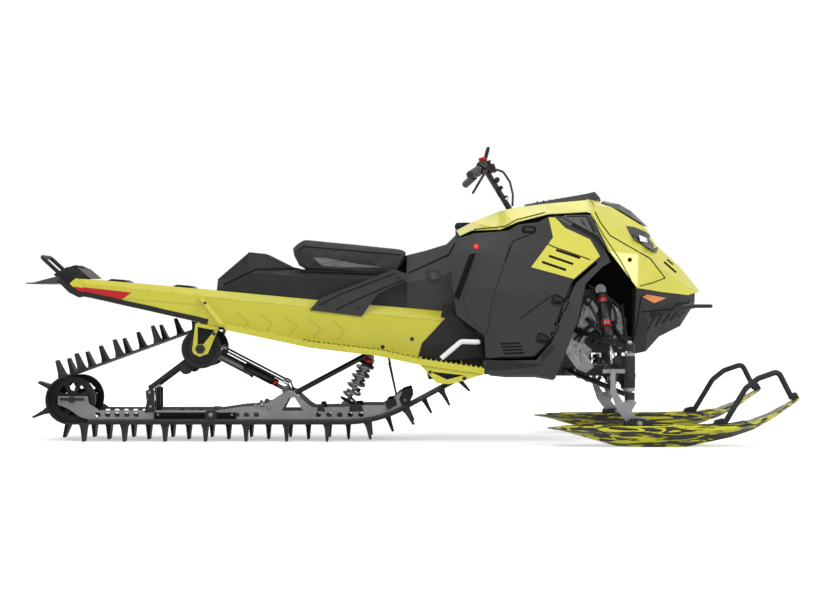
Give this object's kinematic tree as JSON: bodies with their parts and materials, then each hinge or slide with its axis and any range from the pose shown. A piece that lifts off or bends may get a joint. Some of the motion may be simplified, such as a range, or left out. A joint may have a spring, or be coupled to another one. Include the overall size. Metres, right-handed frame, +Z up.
{
  "type": "snowmobile",
  "caption": "Mountain snowmobile with a long paddle track on slide rails, two steered skis, a narrow tunnel seat and hinged side panels.",
  "frame": {"origin": "on the snow, halfway between the ski tips and the snow flap, in the centre plane", "axes": "+X forward, +Y to the rider's left, +Z up"},
  "size_m": [3.3259, 1.116, 1.3046],
  "materials": {
    "amber_lens": "gloss",
    "black_metal": "satin powder coat",
    "black_panel": "fine grain",
    "cable_rubber": "satin",
    "dark_panel": "fine grain",
    "dark_screen": "gloss",
    "engine_metal": "cast",
    "frame_metal": "satin",
    "grey_metal": "satin",
    "lamp_lens": "gloss",
    "loop_black": "satin",
    "rail_metal": "satin anodised",
    "red_lens": "gloss",
    "rubber": "matt",
    "seat_cover": "grained vinyl",
    "shock_steel": "satin",
    "ski_yellow": "satin, dark splatter in the visual model",
    "slide_plastic": "worn",
    "tunnel_yellow": "satin paint",
    "white_tube": "satin",
    "yellow_panel": "gloss paint"
  },
  "bodies": {
    "chassis": {"accessory_anchors": "black_panel", "arch_frames": "dark_panel", "belly_pan": "black_panel", "bumper_bar": "black_metal", "drive_axle": "black_metal", "engine_block": "engine_metal", "foot_covers": "black_panel", "front_frame": "frame_metal", "front_shocks": "shock_steel", "fuel_cap": "black_panel", "fuel_tank": "dark_panel", "grab_hoop": "black_metal", "headlamps": "lamp_lens", "hood": "yellow_panel", "hood_vent": "dark_panel", "idler_wheels": "black_panel", "nose_bumper": "dark_panel", "quarter_vents": "dark_panel", "running_boards": "tunnel_yellow", "seat_base": "dark_panel", "seat_cushion": "seat_cover", "side_reflectors": "amber_lens", "side_struts": "black_metal", "skid_shocks": "shock_steel", "slide_rails": "rail_metal", "slides": "slide_plastic", "snow_flap": "rubber", "suspension_arms": "black_metal", "suspension_links": "black_metal", "tail_cap": "black_panel", "tail_lamp": "red_lens", "toe_holds": "white_tube", "top_cowl": "yellow_panel", "track": "rubber", "tunnel": "tunnel_yellow", "tunnel_brackets": "tunnel_yellow", "windscreen": "dark_screen"},
    "steering": {"steering_column": "black_metal", "handlebar": "black_metal", "grips": "rubber", "bar_controls": "black_panel", "control_cables": "cable_rubber"},
    "right_ski": {"spindle_right": "grey_metal", "ski_right": "ski_yellow", "ski_loop_right": "loop_black"},
    "left_ski": {"spindle_left": "grey_metal", "ski_left": "ski_yellow", "ski_loop_left": "loop_black"},
    "right_tie_rod": {"tie_rod_right": "black_metal"},
    "left_tie_rod": {"tie_rod_left": "black_metal"},
    "pitman": {"pitman_arm": "black_metal"},
    "right_panel": {"side_panel_right": "dark_panel"},
    "left_panel": {"side_panel_left": "dark_panel"}
  },
  "joints": [
    {"name": "steering", "type": "hinge", "parent": "chassis", "child": "steering", "pos_m": [0.519, 0, 0.9328], "axis": [-0.5199, 0, 0.8542], "range_deg": [-35, 35]},
    {"name": "right_ski_turn", "type": "hinge", "parent": "chassis", "child": "right_ski", "pos_m": [0.952, -0.432, 0.3], "axis": [0, 0, 1], "range_deg": [-28.5, 28.5]},
    {"name": "right_tie_rod_turn", "type": "hinge", "parent": "right_ski", "child": "right_tie_rod", "pos_m": [0.848, -0.432, 0.335], "axis": [0, 0, 1], "range_deg": [-28.5, 28.5]},
    {"name": "left_ski_turn", "type": "hinge", "parent": "chassis", "child": "left_ski", "pos_m": [0.952, 0.432, 0.3], "axis": [0, 0, 1], "range_deg": [-28.5, 28.5]},
    {"name": "left_tie_rod_turn", "type": "hinge", "parent": "left_ski", "child": "left_tie_rod", "pos_m": [0.848, 0.432, 0.335], "axis": [0, 0, 1], "range_deg": [-28.5, 28.5]},
    {"name": "pitman_turn", "type": "hinge", "parent": "chassis", "child": "pitman", "pos_m": [0.952, 0, 0.36], "axis": [0, 0, 1], "range_deg": [-28.5, 28.5]},
    {"name": "right_panel_swing", "type": "hinge", "parent": "chassis", "child": "right_panel", "pos_m": [0.62185, -0.341, 0.43923], "axis": [0.3656, 0, 0.9308], "range_deg": [0, 70]},
    {"name": "left_panel_swing", "type": "hinge", "parent": "chassis", "child": "left_panel", "pos_m": [0.62185, 0.341, 0.43923], "axis": [0.3656, 0, 0.9308], "range_deg": [-70, 0]}
  ],
  "couplings": [
    {"joint": "right_ski_turn", "follows": "steering", "ratio": 0.8},
    {"joint": "right_tie_rod_turn", "follows": "steering", "ratio": -0.8},
    {"joint": "left_ski_turn", "follows": "steering", "ratio": 0.8},
    {"joint": "left_tie_rod_turn", "follows": "steering", "ratio": -0.8},
    {"joint": "pitman_turn", "follows": "steering", "ratio": 0.8}
  ]
}
